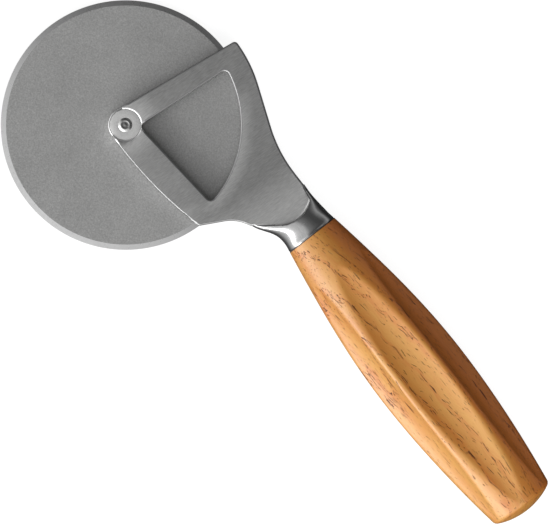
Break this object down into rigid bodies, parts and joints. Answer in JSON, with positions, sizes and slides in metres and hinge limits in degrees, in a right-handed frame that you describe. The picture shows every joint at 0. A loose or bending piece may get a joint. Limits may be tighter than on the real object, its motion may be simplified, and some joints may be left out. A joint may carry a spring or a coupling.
{
  "type": "pizza cutter wheel",
  "caption": "Hand-held pizza cutter: a bevelled steel wheel that spins on a riveted axle in a cast steel fork with a round neck and a fluted oak handle.",
  "frame": {"origin": "centre of the cutting wheel on the axle's axis, half way through the wheel's thickness", "axes": "+X parallel to the handle's axis, towards its butt; +Y across the fork, towards its top arm; +Z along the axle, up when the cutter lies on its side"},
  "size_m": [0.2165, 0.0844, 0.0264],
  "materials": {
    "blade_steel": "fine matt ground stainless steel",
    "fork_steel": "cast stainless steel, brushed flats and polished neck",
    "rivet_steel": "bright stainless steel",
    "washer_steel": "bright stainless steel",
    "sleeve_steel": "turned stainless steel",
    "nylon": "natural nylon",
    "stud_steel": "plain steel",
    "oak": "oiled oak with open pores"
  },
  "bodies": {
    "holder": {"fork": "fork_steel", "axle_rivet": "rivet_steel", "near_rivet_washer": "washer_steel", "far_rivet_washer": "washer_steel", "axle_sleeve": "sleeve_steel", "near_thrust_washer": "nylon", "far_thrust_washer": "nylon", "handle_stud": "stud_steel", "handle": "oak"},
    "wheel": {"cutting_wheel": "blade_steel"}
  },
  "joints": [
    {"name": "wheel_spin", "type": "hinge", "parent": "holder", "child": "wheel", "pos_m": [0, 0, 0], "axis": [0, 0, 1], "continuous": true}
  ]
}
